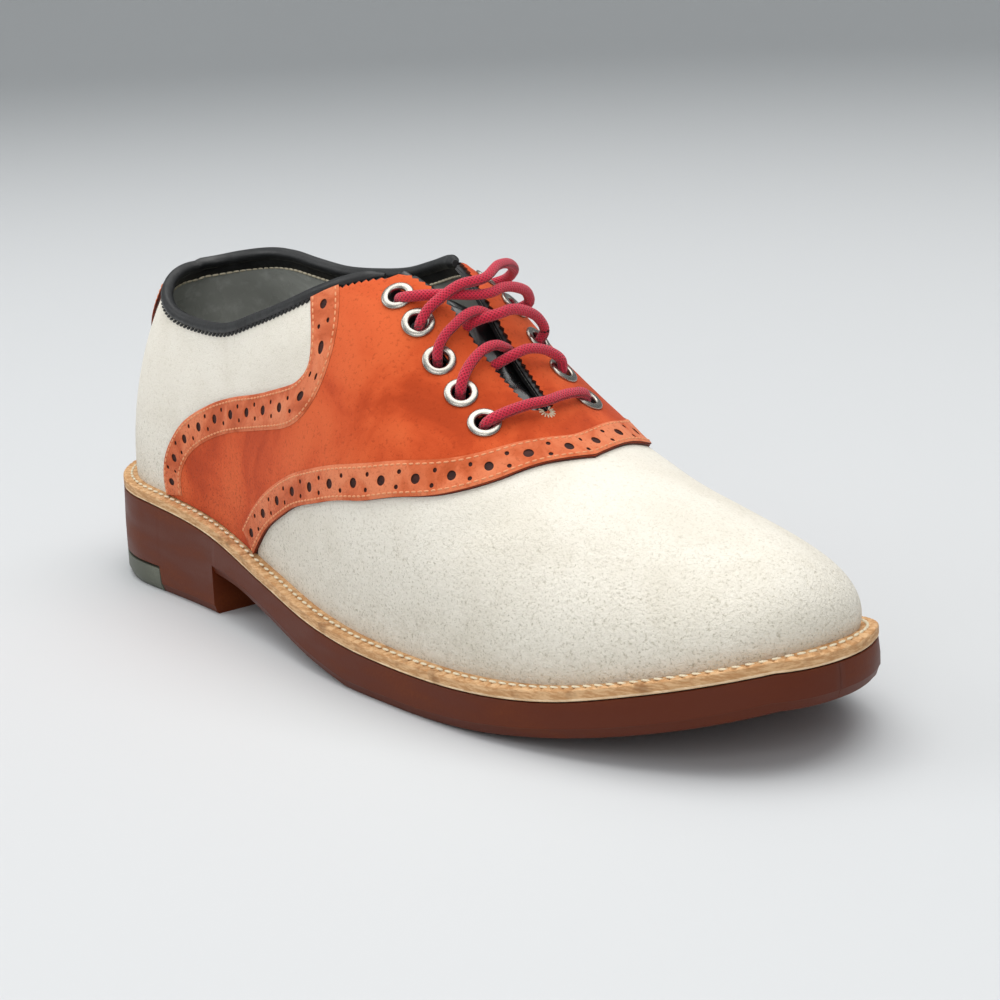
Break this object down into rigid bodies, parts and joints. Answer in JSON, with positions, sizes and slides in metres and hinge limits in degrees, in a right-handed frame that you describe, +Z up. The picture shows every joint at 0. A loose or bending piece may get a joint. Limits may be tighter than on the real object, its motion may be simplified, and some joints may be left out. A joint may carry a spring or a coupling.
{
  "type": "saddle shoe",
  "caption": "Right-foot lace-up saddle oxford: pale upper with contrast brogued saddle and heel tab, leather welt and rubber unit sole with integral heel.",
  "frame": {"origin": "middle of the heel's flat spot on the floor, under the foot's centre line", "axes": "+X along the shoe towards the toe, +Y to the wearer's left (the inner side of this right shoe), +Z up"},
  "size_m": [0.3064, 0.1041, 0.1195],
  "materials": {
    "white_suede": "napped suede, matt",
    "coral_nubuck": "nubuck, matt, burnished edges",
    "black_leather": "smooth, half gloss",
    "brick_rubber": "moulded, matt",
    "grey_rubber": "moulded, matt",
    "veg_tan_leather": "natural vegetable tan, cut edge",
    "insole_leather": "smooth lining leather",
    "nickel": "plated, polished",
    "crimson_cord": "round braided cord"
  },
  "bodies": {
    "root": {"outsole": "brick_rubber", "heel_tip": "grey_rubber", "welt": "veg_tan_leather", "insole": "insole_leather", "upper": "white_suede", "saddle": "coral_nubuck", "heel_tab": "coral_nubuck", "collar_binding": "black_leather", "tongue": "black_leather", "eyelet_lateral_1": "nickel", "eyelet_lateral_2": "nickel", "eyelet_lateral_3": "nickel", "eyelet_lateral_4": "nickel", "eyelet_lateral_5": "nickel", "eyelet_medial_1": "nickel", "eyelet_medial_2": "nickel", "eyelet_medial_3": "nickel", "eyelet_medial_4": "nickel", "eyelet_medial_5": "nickel", "lace_bar": "crimson_cord", "lace_crossing_1": "crimson_cord", "lace_crossing_2": "crimson_cord", "lace_crossing_3": "crimson_cord", "lace_crossing_4": "crimson_cord"}
  },
  "joints": []
}
